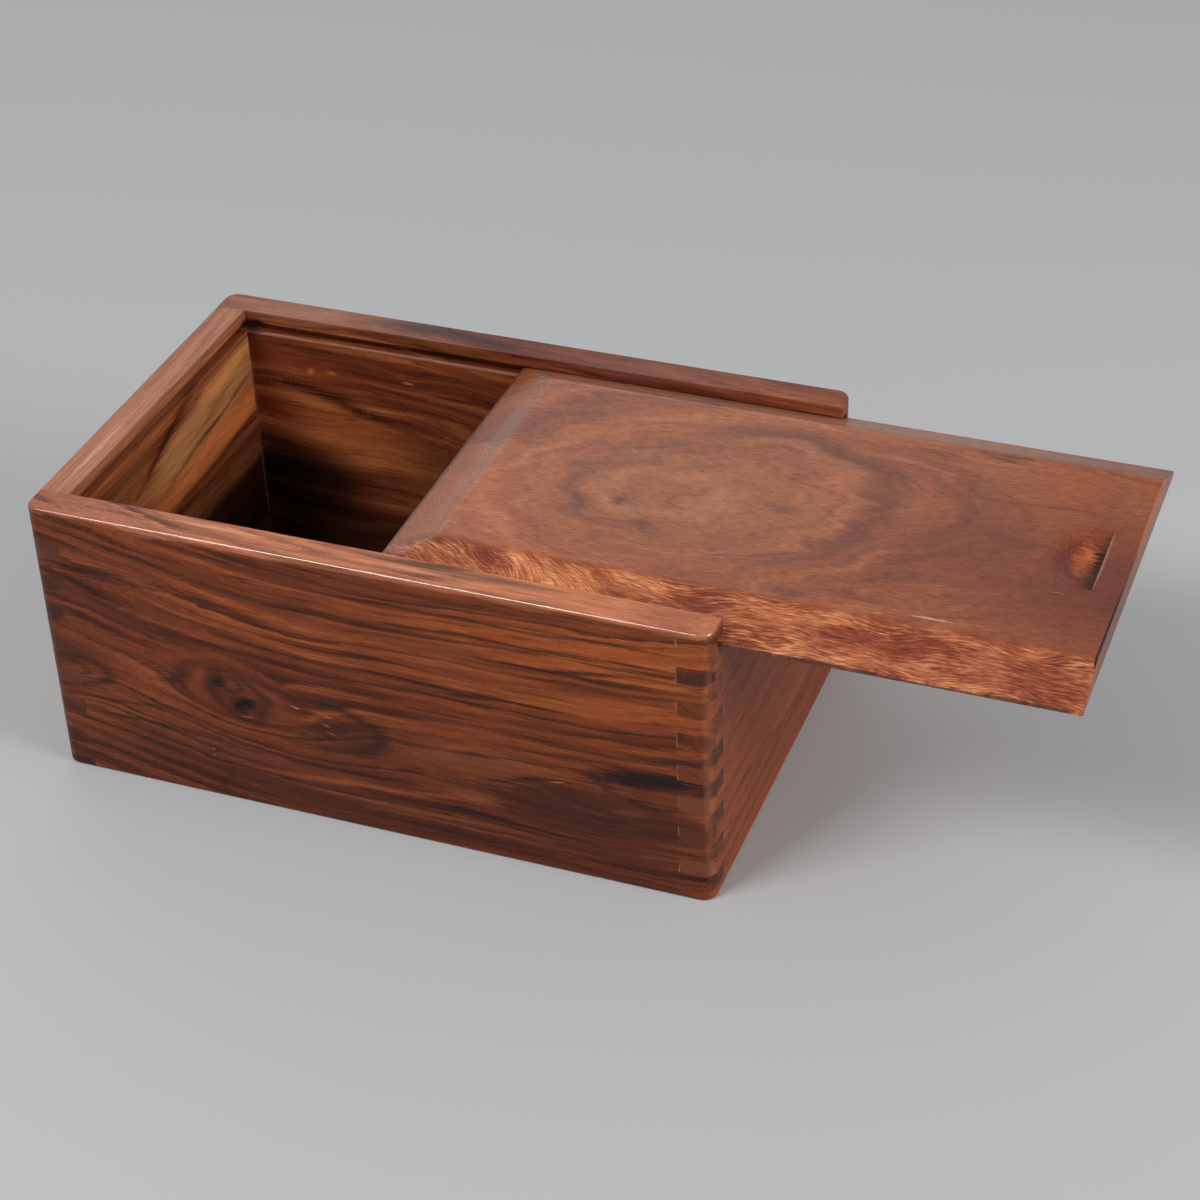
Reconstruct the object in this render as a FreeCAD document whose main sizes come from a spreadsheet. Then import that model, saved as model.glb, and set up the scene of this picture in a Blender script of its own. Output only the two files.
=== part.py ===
"""Sliding lid wooden box: four box-jointed boards, a bottom panel in grooves and a lid that slides out.

Millimetres, +Z up. X runs along the box from its closed end to its open end, and Y from the front board
to the back board. The lid is drawn part open. The origin is the bottom centre of the whole, half way from
the closed end to the end of the lid. Each board is drawn from its own outer lower corner, then put in place.
"""

import FreeCAD, Part
import os
import re

import Sketcher

from FreeCAD import Rotation, Vector

# Driving sizes, in millimetres. Each is a cell of the sheet, and every feature is bound to those cells.
SIZES = {
    "box_length": 224.0,  # outside, closed end to open end
    "box_width": 143.0,  # outside, front to back
    "box_height": 100.0,  # outside, floor to rim
    "board_thickness": 10.7,  # all four boards
    "finger_height": 6.0,  # one finger of the corner joints, and the slot that it fills
    "top_finger": 12.4,  # the side boards' topmost finger, which carries the lid groove
    "corner_radius": 4.5,  # upright outer corners
    "arris_radius": 1.0,  # outer edges of the rim and of the base
    "lip_height": 4.0,  # wood left above the lid groove
    "groove_depth": 4.5,  # lid groove, into the boards
    "slide_clearance": 0.3,  # between the lid and its grooves, on every side
    "lid_thickness": 8.4,  # at the raised field
    "lid_edge": 1.5,  # thin edge of the lid, inside the grooves
    "lid_bevel": 16.5,  # width of the lid's bevels
    "lid_corner": 3.0,  # plan radius of the lid's two leading corners
    "lid_arris": 0.35,  # eased edges of the lid
    "field_arris": 6.0,  # soft edge between the lid's raised field and its bevels
    "lid_opening": 106.0,  # how far the lid stands open
    "notch_radius": 16.6,  # half-moon thumb notch, half its straight side
    "notch_depth": 5.0,  # at the middle of the straight side
    "notch_setback": 8.8,  # straight side of the notch to the lid's end
    "notch_arris": 0.3,  # eased rim of the notch
    "panel_thickness": 4.6,  # bottom panel
    "panel_rise": 4.2,  # underside of the bottom panel above the floor
    "panel_groove": 4.5,  # depth of the bottom panel's grooves
    "panel_play": 0.2,  # above the panel in its groove
    "panel_gap": 0.5,  # room for the panel to swell, at each edge
    "cutter_overrun": 1.0,  # how far a cut runs on past an open face
}

# Sizes and places worked out from the cells, as expressions.
CLOSED_END = "(-(box_length + lid_opening) / 2)"  # X of the closed end's outer face
OPEN_END = f"({CLOSED_END} + box_length)"
TONGUE = "(groove_depth - slide_clearance)"  # how far the lid reaches into a groove
BEVEL_RISE = f"((lid_thickness - lid_edge) * {TONGUE} / lid_bevel)"  # height gained over the tongue
GROOVE_HEIGHT = f"(lid_edge + {BEVEL_RISE} + 2 * slide_clearance)"
LEDGE_HEIGHT = f"(box_height - lip_height - {GROOVE_HEIGHT})"  # the ledge that the lid slides on
GROOVE_LINE = "(board_thickness - groove_depth)"  # groove floor, in from the outer face
GROOVED_WIDTH = f"(box_width - 2 * {GROOVE_LINE})"
LID_LENGTH = f"(box_length - {GROOVE_LINE} - slide_clearance)"
LID_WIDTH = f"({GROOVED_WIDTH} - 2 * slide_clearance)"
PANEL_LINE = "(board_thickness - panel_groove)"
PANEL_CUT_WIDTH = f"(box_width - 2 * {PANEL_LINE})"
PANEL_CUT_HEIGHT = "(panel_thickness + panel_play)"
FINGER_PITCH = "(2 * finger_height)"
FIRST_SLOT = "(box_height - top_finger)"  # top of the uppermost slot in a side board
SIDE_SLOTS = f"ceil({FIRST_SLOT} / {FINGER_PITCH})"
END_SLOTS = f"ceil(({FIRST_SLOT} - finger_height) / {FINGER_PITCH})"
NOTCH_SPHERE = "((notch_radius ^ 2 + notch_depth ^ 2) / (2 * notch_depth))"
THICKNESS_RUN = "(board_thickness + 2 * cutter_overrun)"  # a cut right through a board

NEAR = 1e-4  # two coordinates this close are the same, in millimetres
SMOOTH = 0.999  # two faces whose normals have at least this cosine run smoothly into each other


def sized(expression):
    """The expression with each cell's name pointed at the sheet."""
    return re.sub(r"\b[a-z]+(?:_[a-z]+)+\b", r"sizes.\g<0>", expression)


def make_sheet(doc):
    """Puts the driving sizes into a sheet, one named cell each."""
    sheet = doc.addObject("Spreadsheet::Sheet", "sizes")
    for row, (name, value) in enumerate(SIZES.items(), start=1):
        sheet.set(f"A{row}", name)
        sheet.set(f"B{row}", str(value))
        sheet.setAlias(f"B{row}", name)
    doc.recompute()
    return sheet


def make_body(doc, label, place, turn=0.0):
    """A body with its own label, put at place, three expressions, and turned about Z by turn degrees."""
    body = doc.addObject("PartDesign::Body", label)
    body.Label = label
    body.Placement = FreeCAD.Placement(Vector(), Rotation(Vector(0, 0, 1), turn))
    for axis, expression in zip("xyz", place):
        body.setExpression(f"Placement.Base.{axis}", sized(expression))
    return body


def origin_feature(body, role):
    """One of the body's own origin planes or axes."""
    return next(f for f in body.Origin.OriginFeatures if f.Role == role)


def new_sketch(body, label, role, lift="0"):
    """A sketch on one of the body's origin planes, raised along that plane's normal."""
    sketch = body.newObject("Sketcher::SketchObject", label)
    sketch.AttachmentSupport = [(origin_feature(body, role), "")]
    sketch.MapMode = "FlatFace"
    sketch.setExpression("AttachmentOffset.Base.z", sized(lift))
    return sketch


def bind_point(sketch, name, line, across, up):
    """Ties the first point of a sketch line to two expressions, from the sketch's origin."""
    for kind, suffix, expression in (("DistanceX", "across", across), ("DistanceY", "up", up)):
        constraint = Sketcher.Constraint(kind, -1, 1, line, 1, 1.0)
        index = sketch.addConstraint(constraint)
        sketch.renameConstraint(index, f"{name}_{suffix}")
        sketch.setExpression(f"Constraints.{name}_{suffix}", sized(expression))


def draw_polygon(sketch, name, points):
    """Closed straight-sided outline whose corners are pairs of expressions."""
    rough = [Vector(i, i * i, 0) for i in range(len(points))]
    lines = []
    for start, end in zip(rough, rough[1:] + rough[:1]):
        lines.append(sketch.addGeometry(Part.LineSegment(start, end), False))
    for line, after in zip(lines, lines[1:] + lines[:1]):
        sketch.addConstraint(Sketcher.Constraint("Coincident", line, 2, after, 1))
    for i, (across, up) in enumerate(points):
        bind_point(sketch, f"{name}_{i}", lines[i], across, up)


def draw_rectangle(sketch, name, left, low, width, depth):
    """Rectangle from its lower left corner, in expressions."""
    right = f"({left} + {width})"
    high = f"({low} + {depth})"
    draw_polygon(sketch, name, [(left, low), (right, low), (right, high), (left, high)])


def pad(body, sketch, height):
    """Raises a plan outline into a board."""
    feature = body.newObject("PartDesign::Pad", f"{sketch.Label}_pad")
    feature.Profile = sketch
    feature.setExpression("Length", sized(height))
    body.Document.recompute()
    return feature


def check_cut(body, before):
    """Stops the build if the last cut took nothing off the body."""
    if body.Tip.Shape.Volume > before - NEAR:
        raise RuntimeError(f"{body.Tip.Label} cuts nothing from {body.Label}")


def pocket_up(body, sketch, height):
    """Cuts a plan outline upwards, from the sketch's own level."""
    before = body.Tip.Shape.Volume
    feature = body.newObject("PartDesign::Pocket", f"{sketch.Label}_cut")
    feature.Profile = sketch
    feature.Reversed = True
    feature.setExpression("Length", sized(height))
    body.Document.recompute()
    check_cut(body, before)
    return feature


def pocket_through(body, sketch):
    """Cuts a section right through the body, both ways from the sketch."""
    before = body.Tip.Shape.Volume
    feature = body.newObject("PartDesign::Pocket", f"{sketch.Label}_cut")
    feature.Profile = sketch
    feature.Type = "ThroughAll"
    feature.Midplane = True
    body.Document.recompute()
    check_cut(body, before)
    return feature


def repeat_down(body, feature, pitch, count):
    """Repeats a cut down the board at a pitch."""
    before = body.Tip.Shape.Volume
    pattern = body.newObject("PartDesign::LinearPattern", f"{feature.Label}_row")
    pattern.Originals = [feature]
    pattern.Direction = (origin_feature(body, "Z_Axis"), [""])
    pattern.Reversed = True
    pattern.Mode = "Spacing"
    pattern.setExpression("Offset", sized(pitch))
    pattern.setExpression("Occurrences", sized(count))
    body.Tip = pattern
    body.Document.recompute()
    check_cut(body, before)
    return pattern


def round_edges(body, label, radius, wanted):
    """Rounds the edges of the body's last feature that wanted(edge) picks."""
    base = body.Tip
    edges = [f"Edge{i}" for i, edge in enumerate(base.Shape.Edges, start=1) if wanted(edge)]
    if not edges:
        raise RuntimeError(f"{label} finds no edge on {body.Label}")
    fillet = body.newObject("PartDesign::Fillet", label)
    fillet.Base = (base, edges)
    fillet.setExpression("Radius", sized(radius))
    body.Document.recompute()
    return fillet


def middle(edge):
    """The point half way along an edge."""
    return edge.valueAt((edge.FirstParameter + edge.LastParameter) / 2)


def is_upright(edge):
    """True for an edge that stands along Z."""
    ends = edge.Vertexes
    return abs(abs(ends[0].Point.z - ends[-1].Point.z) - edge.Length) < NEAR


def lies_at(edge, height):
    """True for an edge that lies level at a height."""
    return abs(edge.BoundBox.ZMin - height) < NEAR and abs(edge.BoundBox.ZMax - height) < NEAR


def is_sharp(edge, shape):
    """True where the faces that meet at an edge don't run smoothly into each other."""
    normals = []
    for face in shape.ancestorsOfType(edge, Part.Face):
        normals.append(face.normalAt(*face.Surface.parameter(middle(edge))))
    return normals[0].dot(normals[-1]) < SMOOTH


def round_outside(body, height, is_inner):
    """Rounds the upright outer corners of a board, then the outer edges of its top and bottom."""
    round_edges(
        body, "corners", "corner_radius", lambda edge: is_upright(edge) and not is_inner(middle(edge))
    )
    round_edges(
        body,
        "arrises",
        "arris_radius",
        lambda edge: (lies_at(edge, 0.0) or lies_at(edge, height)) and not is_inner(middle(edge)),
    )


def side_board(doc, label, inward):
    """Front or back board. Its outer face is at Y 0 and its inner face lies inward, +1 or -1 along Y."""

    def across(start, depth):
        """Lower Y of a cut that starts this far in from the outer face."""
        return start if inward > 0 else f"(-({start} + {depth}))"

    body = make_body(doc, label, (CLOSED_END, f"{-inward} * box_width / 2", "0"))
    plan = new_sketch(body, "plan", "XY_Plane")
    draw_rectangle(plan, "board", "0", across("0", "board_thickness"), "box_length", "board_thickness")
    pad(body, plan, "box_height")
    inner_face = inward * SIZES["board_thickness"]
    round_outside(body, SIZES["box_height"], lambda point: abs(point.y - inner_face) < NEAR)

    slots = new_sketch(body, "slots", "XY_Plane", f"{FIRST_SLOT} - finger_height")
    through = across("(-cutter_overrun)", THICKNESS_RUN)
    slot_run = "(board_thickness + cutter_overrun)"
    far_slot = "(box_length - board_thickness)"
    draw_rectangle(slots, "closed_end", "(-cutter_overrun)", through, slot_run, THICKNESS_RUN)
    draw_rectangle(slots, "open_end", far_slot, through, slot_run, THICKNESS_RUN)
    slot = pocket_up(body, slots, "finger_height")
    repeat_down(body, slot, FINGER_PITCH, SIDE_SLOTS)

    lid_groove = new_sketch(body, "lid_groove", "XY_Plane", LEDGE_HEIGHT)
    groove_width = "(groove_depth + cutter_overrun)"
    groove_run = f"(box_length - {GROOVE_LINE} + cutter_overrun)"
    draw_rectangle(
        lid_groove, "groove", GROOVE_LINE, across(GROOVE_LINE, groove_width), groove_run, groove_width
    )
    pocket_up(body, lid_groove, GROOVE_HEIGHT)

    panel_groove = new_sketch(body, "panel_groove", "XY_Plane", "panel_rise")
    panel_cut = "(panel_groove + cutter_overrun)"
    panel_run = f"(box_length - 2 * {PANEL_LINE})"
    draw_rectangle(
        panel_groove, "groove", PANEL_LINE, across(PANEL_LINE, panel_cut), panel_run, panel_cut
    )
    pocket_up(body, panel_groove, PANEL_CUT_HEIGHT)
    return body


def end_board(doc, label, is_open):
    """End board, its outer face at X 0 and its inner face at X board_thickness. The open end stops at the
    ledge, so that the lid passes over it, and is turned half round."""
    if is_open:
        body = make_body(doc, label, (OPEN_END, "box_width / 2", "0"), turn=180.0)
    else:
        body = make_body(doc, label, (CLOSED_END, "-box_width / 2", "0"))
    plan = new_sketch(body, "plan", "XY_Plane")
    draw_rectangle(plan, "board", "0", "0", "board_thickness", "box_width")
    pad(body, plan, "box_height")
    inner_face = SIZES["board_thickness"]
    round_outside(body, SIZES["box_height"], lambda point: abs(point.x - inner_face) < NEAR)

    slot_run = "(board_thickness + cutter_overrun)"
    far_slot = "(box_width - board_thickness)"
    slots = new_sketch(body, "slots", "XY_Plane", f"{FIRST_SLOT} - {FINGER_PITCH}")
    top_slots = new_sketch(body, "top_slots", "XY_Plane", FIRST_SLOT)
    for sketch in (slots, top_slots):
        draw_rectangle(sketch, "near", "(-cutter_overrun)", "(-cutter_overrun)", THICKNESS_RUN, slot_run)
        draw_rectangle(sketch, "far", "(-cutter_overrun)", far_slot, THICKNESS_RUN, slot_run)
    slot = pocket_up(body, slots, "finger_height")
    repeat_down(body, slot, FINGER_PITCH, END_SLOTS)
    pocket_up(body, top_slots, "(top_finger + cutter_overrun)")

    lid_way = new_sketch(body, "lid_way", "XY_Plane", LEDGE_HEIGHT)
    if is_open:
        draw_rectangle(lid_way, "way", "(-cutter_overrun)", GROOVE_LINE, THICKNESS_RUN, GROOVED_WIDTH)
        pocket_up(body, lid_way, f"({GROOVE_HEIGHT} + lip_height + cutter_overrun)")
        ledge = body.Tip.Shape.BoundBox.ZMax
        round_edges(
            body,
            "ledge_arris",
            "arris_radius",
            lambda edge: lies_at(edge, ledge) and abs(middle(edge).x) < NEAR,
        )
    else:
        groove_width = "(groove_depth + cutter_overrun)"
        draw_rectangle(lid_way, "groove", GROOVE_LINE, GROOVE_LINE, groove_width, GROOVED_WIDTH)
        pocket_up(body, lid_way, GROOVE_HEIGHT)

    panel_groove = new_sketch(body, "panel_groove", "XY_Plane", "panel_rise")
    panel_cut = "(panel_groove + cutter_overrun)"
    draw_rectangle(panel_groove, "groove", PANEL_LINE, PANEL_LINE, panel_cut, PANEL_CUT_WIDTH)
    pocket_up(body, panel_groove, PANEL_CUT_HEIGHT)
    return body


def bottom_panel(doc):
    """Thin panel that lies loose in the grooves of all four boards, with room to swell."""
    inset = f"({PANEL_LINE} + panel_gap)"
    place = (f"{CLOSED_END} + {inset}", f"{inset} - box_width / 2", "panel_rise")
    body = make_body(doc, "bottom_panel", place)
    plan = new_sketch(body, "plan", "XY_Plane")
    draw_rectangle(plan, "panel", "0", "0", f"(box_length - 2 * {inset})", f"(box_width - 2 * {inset})")
    pad(body, plan, "panel_thickness")
    return body


def lid_panel(doc):
    """The lid: one board with a raised field, bevelled on the front, the back and the leading end down to
    a thin edge that runs in the grooves. The trailing end is square and full thickness, and a half-moon
    notch near it takes a thumb."""
    place = (
        f"{CLOSED_END} + {GROOVE_LINE} + slide_clearance + lid_opening",
        f"-{LID_WIDTH} / 2",
        f"{LEDGE_HEIGHT} + slide_clearance",
    )
    body = make_body(doc, "lid_panel", place)
    plan = new_sketch(body, "plan", "XY_Plane")
    draw_rectangle(plan, "lid", "0", "0", LID_LENGTH, LID_WIDTH)
    pad(body, plan, "lid_thickness")
    round_edges(
        body, "leading_corners", "lid_corner", lambda edge: is_upright(edge) and middle(edge).x < NEAR
    )

    over = "cutter_overrun"
    slope = "((lid_thickness - lid_edge) / lid_bevel)"
    past_low = f"(lid_edge - {over} * {slope})"
    past_high = f"(lid_thickness + {over} * {slope})"
    inner = f"(lid_bevel + {over})"
    sides = new_sketch(body, "side_bevels", "YZ_Plane")
    draw_polygon(sides, "near", [(f"(-{over})", past_low), (inner, past_high), (f"(-{over})", past_high)])
    far = f"({LID_WIDTH} + {over})"
    draw_polygon(sides, "far", [(far, past_low), (far, past_high), (f"({LID_WIDTH} - {inner})", past_high)])
    pocket_through(body, sides)
    leading = new_sketch(body, "leading_bevel", "XZ_Plane")
    draw_polygon(leading, "end", [(f"(-{over})", past_low), (inner, past_high), (f"(-{over})", past_high)])
    pocket_through(body, leading)

    field = body.Tip.Shape.BoundBox.ZMax
    end = body.Tip.Shape.BoundBox.XMax
    round_edges(
        body,
        "soft_field",
        "field_arris",
        lambda edge: edge.BoundBox.ZMax > field - NEAR and edge.BoundBox.XMin < end - NEAR,
    )
    softened = body.Tip.Shape
    round_edges(body, "eased_edges", "lid_arris", lambda edge: is_sharp(edge, softened))

    before = body.Tip.Shape.Volume
    notch = body.newObject("PartDesign::SubtractiveSphere", "thumb_notch")
    notch.Angle1 = -90
    notch.Angle2 = 90
    notch.Angle3 = 180
    notch.Placement = FreeCAD.Placement(Vector(), Rotation(Vector(0, 0, 1), 90))
    notch.setExpression("Radius", sized(NOTCH_SPHERE))
    notch.setExpression("Placement.Base.x", sized(f"{LID_LENGTH} - notch_setback"))
    notch.setExpression("Placement.Base.y", sized(f"{LID_WIDTH} / 2"))
    notch.setExpression("Placement.Base.z", sized(f"lid_thickness - notch_depth + {NOTCH_SPHERE}"))
    doc.recompute()
    check_cut(body, before)
    centre = Vector(notch.Placement.Base.x, notch.Placement.Base.y, field)
    round_edges(
        body,
        "notch_rim",
        "notch_arris",
        lambda edge: lies_at(edge, field) and (middle(edge) - centre).Length < SIZES["notch_radius"] + NEAR,
    )
    return body


def check(doc, bodies):
    """Stops the build if any object failed or any sub-part isn't one valid solid."""
    for item in doc.Objects:
        if "Invalid" in item.State or "Error" in item.State:
            raise RuntimeError(f"{item.Label} is {item.State}")
    for body in bodies:
        shape = body.Shape
        if shape.isNull() or not shape.isValid() or len(shape.Solids) != 1:
            raise RuntimeError(f"{body.Label} isn't one valid solid")


def main():
    """Builds the document and writes one STEP file for each sub-part."""
    doc = FreeCAD.newDocument("sliding_lid_box")
    make_sheet(doc)
    bodies = [
        side_board(doc, "front_board", 1),
        side_board(doc, "back_board", -1),
        end_board(doc, "left_end_board", False),
        end_board(doc, "right_end_board", True),
        bottom_panel(doc),
        lid_panel(doc),
    ]
    doc.recompute()
    check(doc, bodies)
    os.makedirs("parts", exist_ok=True)
    for body in bodies:
        body.Shape.exportStep(f"parts/{body.Label}.step")
        print(f"{body.Label}: {body.Shape.Volume / 1000:.1f} cm3, {body.Shape.BoundBox}")


main()
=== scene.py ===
"""Looks of the sliding lid wooden box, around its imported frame.

The six boards keep their own meshes. Each is given a solid-wood finish of its own, which is worked out
through the whole thickness of the board, so that the figure runs round every edge: streaks on the faces,
straight grain on the rims and dark end grain on the fingers of the corner joints.
"""

import logging
import math
from collections.abc import Sequence
from dataclasses import KW_ONLY, dataclass
from enum import Enum

import bmesh
import bpy
from mathutils import Matrix, Vector


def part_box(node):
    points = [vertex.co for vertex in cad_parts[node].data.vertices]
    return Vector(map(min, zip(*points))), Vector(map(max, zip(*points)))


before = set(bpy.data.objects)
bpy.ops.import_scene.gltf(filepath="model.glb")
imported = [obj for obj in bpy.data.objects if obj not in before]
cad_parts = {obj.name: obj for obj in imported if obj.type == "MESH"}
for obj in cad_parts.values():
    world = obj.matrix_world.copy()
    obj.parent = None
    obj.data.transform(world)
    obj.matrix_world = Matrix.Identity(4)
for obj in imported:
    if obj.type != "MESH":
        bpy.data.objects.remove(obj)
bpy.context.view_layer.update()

LOG = logging.getLogger("box")
MM = 0.001  # one millimetre, in the scene's metres

Pair = tuple[float, float]
Triple = tuple[float, float, float]
Colour = tuple[float, float, float, float]  # linear red, green, blue and alpha
Socket = bpy.types.NodeSocket
Tree = bpy.types.NodeTree

# Mean length, height and depth of the noises that every board's figure is made of, in millimetres.
STRAY_SIZE = (38.0, 13.0, 13.0)  # pushes marks off their drawn outlines
TORN_SIZE = (26.0, 1.0, 1.0)  # tears the edges of bands and marks along the grain
TICK_SIZE = (0.9, 9.0, 9.0)  # tears them in short ticks across it
WANDER_SIZE = (110.0, 40.0, 60.0)  # bends the growth layers in long waves
SWAY_SIZE = (160.0, 11.0, 80.0)  # spaces the growth lines unevenly

# The colour bands, the growth lines, the end grain, the rubbed arrises and the fibres.
BANDS = ((1.0, 3.2), (0.6, 0.9), (0.25, 0.25))  # length and width of the broad, middling and narrow ones
BAND_TONES = (0.14, 0.5, 0.86)  # where the dark, the middle and the light colour lie in their noise
# How dark a growth line is, from its soft start to its sharp end.
LINE_PROFILE = ((0.0, 0.0), (0.28, 0.06), (0.55, 0.50), (0.78, 1.0), (0.90, 0.85), (1.0, 0.0))
LINE_LENGTH, LINE_WIDTH, LINE_DEPTH = 80.0, 1.3, 60.0  # how far one stays strong; the width in pitches
LINE_SHOWS = (0.38, 0.62)  # noise at which a growth line begins to show, and at which it is full
END_SHOWS = (0.45, 0.95)  # how squarely a face cuts the grain where end grain begins, and where it is full
ARRIS_SHOWS = (0.25, 0.40, 0.87, 0.93)  # upward look at which the rubbed arris begins, is full and ends
FIBRE_RANGE = (0.3, 0.7)  # noise of open pores and of bright fibres
FIBRE_TONES = (  # what the fibres multiply the colour by, from the one to the other
    (0.34, (0.50, 0.45, 0.43, 1.0)),
    (0.46, (0.88, 0.88, 0.88, 1.0)),
    (0.55, (1.10, 1.10, 1.10, 1.0)),
    (0.66, (1.50, 1.46, 1.38, 1.0)),
)


def linear(colour: str) -> Colour:
    """Turns an sRGB colour, six hex digits after a hash sign, into the linear one that a shader takes."""
    channels = [int(colour[i : i + 2], 16) / 255 for i in (1, 3, 5)]
    return (*(c / 12.92 if c <= 0.04045 else ((c + 0.055) / 1.055) ** 2.4 for c in channels), 1.0)


def grey(value: float) -> Colour:
    """A linear grey."""
    return (value, value, value, 1.0)


def add_node(
    kind: str, inputs: dict, output: int | str = 0, tree: Tree | None = None, **settings
) -> Socket | None:
    """Adds one node to a tree, with its settings and its inputs.

    Args:
        kind: the node's type, without the ShaderNode that its name begins with.
        inputs: for each input, by name or number, the socket that feeds it or the value that it holds.
        output: the output that is wanted, by name or number.
        tree: the node tree, which can be left out where a socket of it feeds the node.
        settings: the node's own properties.

    Returns:
        That output, or nothing where the node has none.
    """
    tree = tree or next(value.id_data for value in inputs.values() if isinstance(value, Socket))
    node = tree.nodes.new("ShaderNode" + kind)
    for name, value in settings.items():
        setattr(node, name, value)
    for key, value in inputs.items():
        if isinstance(value, Socket):
            tree.links.new(value, node.inputs[key])
        else:
            node.inputs[key].default_value = value
    return node.outputs[output] if node.outputs else None


def add_noise(
    source: Socket, size: Triple, shift: Triple = (0.0, 0.0, 0.0), normalize: bool = False, **looks: float
) -> Socket:
    """Adds noise that is stretched along the grain, after the node that stretches it.

    Args:
        source: the point, in millimetres.
        size: mean length, height and depth of the noise, in millimetres.
        shift: moves the noise, so that each board has its own.
        normalize: whether it runs from nought to one. Otherwise it runs about nought.
        looks: the noise's own inputs, such as its detail.

    Returns:
        The noise.
    """
    inputs = {0: source, 1: tuple(1 / length for length in size), 2: shift}
    stretched = add_node("VectorMath", inputs, operation="MULTIPLY_ADD")
    return add_node("TexNoise", {"Vector": stretched, "Scale": 1.0, **looks}, normalize=normalize)


def set_ramp(colour: Socket, stops: Sequence[tuple[float, Colour]]) -> Socket:
    """Fills a colour ramp.

    Args:
        colour: what the ramp gives.
        stops: position and colour of each stop, in rising order.

    Returns:
        The same socket.
    """
    ramp = colour.node.color_ramp
    while len(ramp.elements) < len(stops):
        ramp.elements.new(1.0)
    for element, (position, shade) in zip(ramp.elements, stops):
        element.position = position
        element.color = shade
    return colour


class Lie(Enum):
    """How a board lies: the part's axes that run along its grain, across its face and through it."""

    LONG_SIDE = (0, 2, 1)
    SHORT_SIDE = (1, 2, 0)
    LEVEL = (0, 1, 2)


class Follow(Enum):
    """What a mark in the wood keeps to."""

    EXACT = "place"  # its exact place on the board, such as along an arris
    BOARD = "drift"  # its place on the board, more or less
    LAYERS = "layered"  # the growth layers: it runs with the grain, wherever that bends


@dataclass
class Points:
    """Where a point of the wood lies, as sockets of one board's shader."""

    place: Socket  # millimetres along the grain, across the face and through the board
    drift: Socket  # the same, pushed about a little, so that nothing looks drawn with compasses
    ragged: Socket  # noise of torn fibre ends, about 0
    layers: Socket  # growth layer, as a distance across the board in millimetres
    layered: Socket  # millimetres along the grain, across the growth layers and through the board
    normal: Socket  # the way that the surface faces


@dataclass(frozen=True)
class Spot:
    """A place in the wood, an ellipsoid in the board's own millimetres."""

    centre: Triple
    reach: Triple
    _: KW_ONLY
    turn: float = 0.0  # degrees, in the plane of the face

    def around(self, source: Socket) -> tuple[Socket, Socket]:
        """Sees the point from the spot's centre.

        Args:
            source: the point, in millimetres.

        Returns:
            The point, and its distance from the centre, both in reaches.
        """
        inputs = {
            "Vector": source,
            "Location": self.centre,
            "Rotation": (0.0, 0.0, math.radians(self.turn)),
            "Scale": self.reach,
        }
        local = add_node("Mapping", inputs, vector_type="TEXTURE")
        away = add_node("VectorMath", {0: local}, operation="LENGTH", output="Value")
        return local, away


@dataclass(frozen=True, kw_only=True)
class Eye(Spot):
    """A place where the growth layers bulge, or part round a knot."""

    lift: float = 0.0  # how far the layers bulge, in millimetres: a large one closes them into rings
    part: float = 0.0  # how far the grain parts round the centre: 1 leaves it level there

    def bend(self, points: Points) -> Socket:
        """Bends the growth layers.

        Args:
            points: where a point of the wood lies.

        Returns:
            The bent layers.
        """
        local, away = self.around(points.drift)
        near = add_node(
            "MapRange",
            {"Value": away, "From Min": 0.0, "From Max": 1.0, "To Min": 1.0, "To Max": 0.0},
            interpolation_type="SMOOTHSTEP",
        )
        beside = add_node("SeparateXYZ", {0: local}, output=1)
        inputs = {0: beside, 1: -self.part * self.reach[1], 2: self.lift}
        push = add_node("Math", inputs, operation="MULTIPLY_ADD")
        return add_node("Math", {0: push, 1: near, 2: points.layers}, operation="MULTIPLY_ADD")


@dataclass(frozen=True, kw_only=True)
class Oval(Spot):
    """Closed growth rings in a flat-sawn board, which open into straight grain towards its ends."""

    rings: float  # growth from the centre to the reach, in millimetres
    opening: float = 0.6  # how soon the rings open: nought keeps them closed

    def bend(self, points: Points) -> Socket:
        """Bends the growth layers.

        Args:
            points: where a point of the wood lies.

        Returns:
            The bent layers.
        """
        local, _ = self.around(points.drift)
        along, across, _ = add_node("SeparateXYZ", {0: local}).node.outputs
        far = add_node("Math", {0: along, 1: along}, operation="MULTIPLY")
        limit = add_node("Math", {0: far, 1: self.opening, 2: 1.0}, operation="MULTIPLY_ADD")
        far = add_node("Math", {0: far, 1: limit}, operation="DIVIDE")
        square = add_node("Math", {0: across, 1: across, 2: far}, operation="MULTIPLY_ADD")
        away = add_node("Math", {0: square}, operation="SQRT")
        level = add_node("SeparateXYZ", {0: points.place}, output=1)
        rest = add_node("Math", {0: points.layers, 1: level}, operation="SUBTRACT")
        return add_node("Math", {0: away, 1: self.rings, 2: rest}, operation="MULTIPLY_ADD")


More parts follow.
